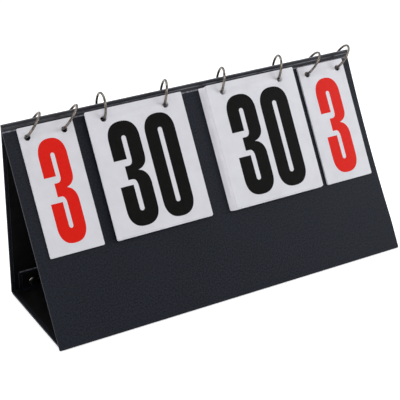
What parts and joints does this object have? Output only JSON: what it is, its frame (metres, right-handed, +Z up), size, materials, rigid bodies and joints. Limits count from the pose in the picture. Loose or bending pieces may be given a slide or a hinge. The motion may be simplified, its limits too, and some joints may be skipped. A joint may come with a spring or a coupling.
{
  "type": "flip scoreboard",
  "caption": "Folding tabletop flip scoreboard: an A-frame of covered boards with score and set cards hung on hinged book rings, and a base flap that snaps to the back.",
  "frame": {"origin": "on the ground, at the middle of the footprint", "axes": "+X along the ridge to the right as seen from the front, +Y to the back, +Z up"},
  "size_m": [0.385, 0.1628, 0.2184],
  "materials": {
    "grained_vinyl": "grained black vinyl, satin",
    "vinyl_lining": "smooth black vinyl, satin",
    "grey_board": "bare grey board",
    "card_sheet": "coated card, soft gloss",
    "nickel_plate": "bright nickel plate"
  },
  "bodies": {
    "front_panel": {"front_cover": "grained_vinyl", "front_board": "grey_board", "front_lining": "vinyl_lining", "ridge_strip": "grained_vinyl", "base_hinge_strip": "vinyl_lining", "home_set_next_card": "card_sheet", "home_set_lower_cards": "card_sheet", "home_score_next_card": "card_sheet", "home_score_lower_cards": "card_sheet", "guest_score_next_card": "card_sheet", "guest_score_lower_cards": "card_sheet", "guest_set_next_card": "card_sheet", "guest_set_lower_cards": "card_sheet"},
    "back_panel": {"back_cover": "grained_vinyl", "back_board": "grey_board", "back_lining": "vinyl_lining", "snap_stud_left": "nickel_plate", "snap_stud_right": "nickel_plate"},
    "base": {"base_cover": "grained_vinyl", "base_board": "grey_board", "base_lining": "vinyl_lining"},
    "flap": {"flap_cover": "grained_vinyl", "flap_board": "grey_board", "flap_lining": "vinyl_lining", "snap_socket_left": "nickel_plate", "snap_socket_right": "nickel_plate", "snap_cap_left": "nickel_plate", "snap_cap_right": "nickel_plate"},
    "home_set_rings": {"ring_1_bow": "nickel_plate", "ring_1_rivet": "nickel_plate", "ring_2_bow": "nickel_plate", "ring_2_rivet": "nickel_plate"},
    "home_set_top_card": {"home_set_top_card": "card_sheet"},
    "ring_1_gate": {"ring_1_gate": "nickel_plate"},
    "ring_2_gate": {"ring_2_gate": "nickel_plate"},
    "home_score_rings": {"ring_3_bow": "nickel_plate", "ring_3_rivet": "nickel_plate", "ring_4_bow": "nickel_plate", "ring_4_rivet": "nickel_plate"},
    "home_score_top_card": {"home_score_top_card": "card_sheet"},
    "ring_3_gate": {"ring_3_gate": "nickel_plate"},
    "ring_4_gate": {"ring_4_gate": "nickel_plate"},
    "guest_score_rings": {"ring_5_bow": "nickel_plate", "ring_5_rivet": "nickel_plate", "ring_6_bow": "nickel_plate", "ring_6_rivet": "nickel_plate"},
    "guest_score_top_card": {"guest_score_top_card": "card_sheet"},
    "ring_5_gate": {"ring_5_gate": "nickel_plate"},
    "ring_6_gate": {"ring_6_gate": "nickel_plate"},
    "guest_set_rings": {"ring_7_bow": "nickel_plate", "ring_7_rivet": "nickel_plate", "ring_8_bow": "nickel_plate", "ring_8_rivet": "nickel_plate"},
    "guest_set_top_card": {"guest_set_top_card": "card_sheet"},
    "ring_7_gate": {"ring_7_gate": "nickel_plate"},
    "ring_8_gate": {"ring_8_gate": "nickel_plate"}
  },
  "joints": [
    {"name": "ridge_fold", "type": "hinge", "parent": "front_panel", "child": "back_panel", "pos_m": [0, 0, 0.20279], "axis": [1, 0, 0], "range_deg": [0, 136.48]},
    {"name": "base_fold", "type": "hinge", "parent": "front_panel", "child": "base", "pos_m": [0, -0.08026, 0.001], "axis": [-1, 0, 0], "range_deg": [0, 111.76]},
    {"name": "flap_fold", "type": "hinge", "parent": "base", "child": "flap", "pos_m": [0, 0.07579, 0.0028], "axis": [1, 0, 0], "range_deg": [0, 51]},
    {"name": "home_set_ring_turn", "type": "hinge", "parent": "front_panel", "child": "home_set_rings", "pos_m": [0, -0.0045, 0.20379], "axis": [-1, 0, 0], "range_deg": [0, 301.03]},
    {"name": "home_set_card_swing", "type": "hinge", "parent": "home_set_rings", "child": "home_set_top_card", "pos_m": [0, -0.00819, 0.1907], "axis": [-1, 0, 0], "range_deg": [0, 15.45]},
    {"name": "ring_1_open", "type": "hinge", "parent": "home_set_rings", "child": "ring_1_gate", "pos_m": [0, 0.00528, 0.19434], "axis": [1, 0, 0], "range_deg": [-50, 0]},
    {"name": "ring_2_open", "type": "hinge", "parent": "home_set_rings", "child": "ring_2_gate", "pos_m": [0, 0.00528, 0.19434], "axis": [1, 0, 0], "range_deg": [-50, 0]},
    {"name": "home_score_ring_turn", "type": "hinge", "parent": "front_panel", "child": "home_score_rings", "pos_m": [0, -0.0045, 0.20379], "axis": [-1, 0, 0], "range_deg": [0, 274.64]},
    {"name": "home_score_card_swing", "type": "hinge", "parent": "home_score_rings", "child": "home_score_top_card", "pos_m": [0, -0.01362, 0.1937], "axis": [-1, 0, 0], "range_deg": [0, 41.84]},
    {"name": "ring_3_open", "type": "hinge", "parent": "home_score_rings", "child": "ring_3_gate", "pos_m": [0, 0.00528, 0.19434], "axis": [1, 0, 0], "range_deg": [-50, 0]},
    {"name": "ring_4_open", "type": "hinge", "parent": "home_score_rings", "child": "ring_4_gate", "pos_m": [0, 0.00528, 0.19434], "axis": [1, 0, 0], "range_deg": [-50, 0]},
    {"name": "guest_score_ring_turn", "type": "hinge", "parent": "front_panel", "child": "guest_score_rings", "pos_m": [0, -0.0045, 0.20379], "axis": [-1, 0, 0], "range_deg": [0, 274.64]},
    {"name": "guest_score_card_swing", "type": "hinge", "parent": "guest_score_rings", "child": "guest_score_top_card", "pos_m": [0, -0.01362, 0.1937], "axis": [-1, 0, 0], "range_deg": [0, 41.84]},
    {"name": "ring_5_open", "type": "hinge", "parent": "guest_score_rings", "child": "ring_5_gate", "pos_m": [0, 0.00528, 0.19434], "axis": [1, 0, 0], "range_deg": [-50, 0]},
    {"name": "ring_6_open", "type": "hinge", "parent": "guest_score_rings", "child": "ring_6_gate", "pos_m": [0, 0.00528, 0.19434], "axis": [1, 0, 0], "range_deg": [-50, 0]},
    {"name": "guest_set_ring_turn", "type": "hinge", "parent": "front_panel", "child": "guest_set_rings", "pos_m": [0, -0.0045, 0.20379], "axis": [-1, 0, 0], "range_deg": [0, 301.03]},
    {"name": "guest_set_card_swing", "type": "hinge", "parent": "guest_set_rings", "child": "guest_set_top_card", "pos_m": [0, -0.00819, 0.1907], "axis": [-1, 0, 0], "range_deg": [0, 15.45]},
    {"name": "ring_7_open", "type": "hinge", "parent": "guest_set_rings", "child": "ring_7_gate", "pos_m": [0, 0.00528, 0.19434], "axis": [1, 0, 0], "range_deg": [-50, 0]},
    {"name": "ring_8_open", "type": "hinge", "parent": "guest_set_rings", "child": "ring_8_gate", "pos_m": [0, 0.00528, 0.19434], "axis": [1, 0, 0], "range_deg": [-50, 0]}
  ],
  "couplings": [
    {"joint": "home_set_card_swing", "follows": "home_set_ring_turn", "ratio": 0.05132},
    {"joint": "home_score_card_swing", "follows": "home_score_ring_turn", "ratio": 0.15234},
    {"joint": "guest_score_card_swing", "follows": "guest_score_ring_turn", "ratio": 0.15234},
    {"joint": "guest_set_card_swing", "follows": "guest_set_ring_turn", "ratio": 0.05132}
  ]
}
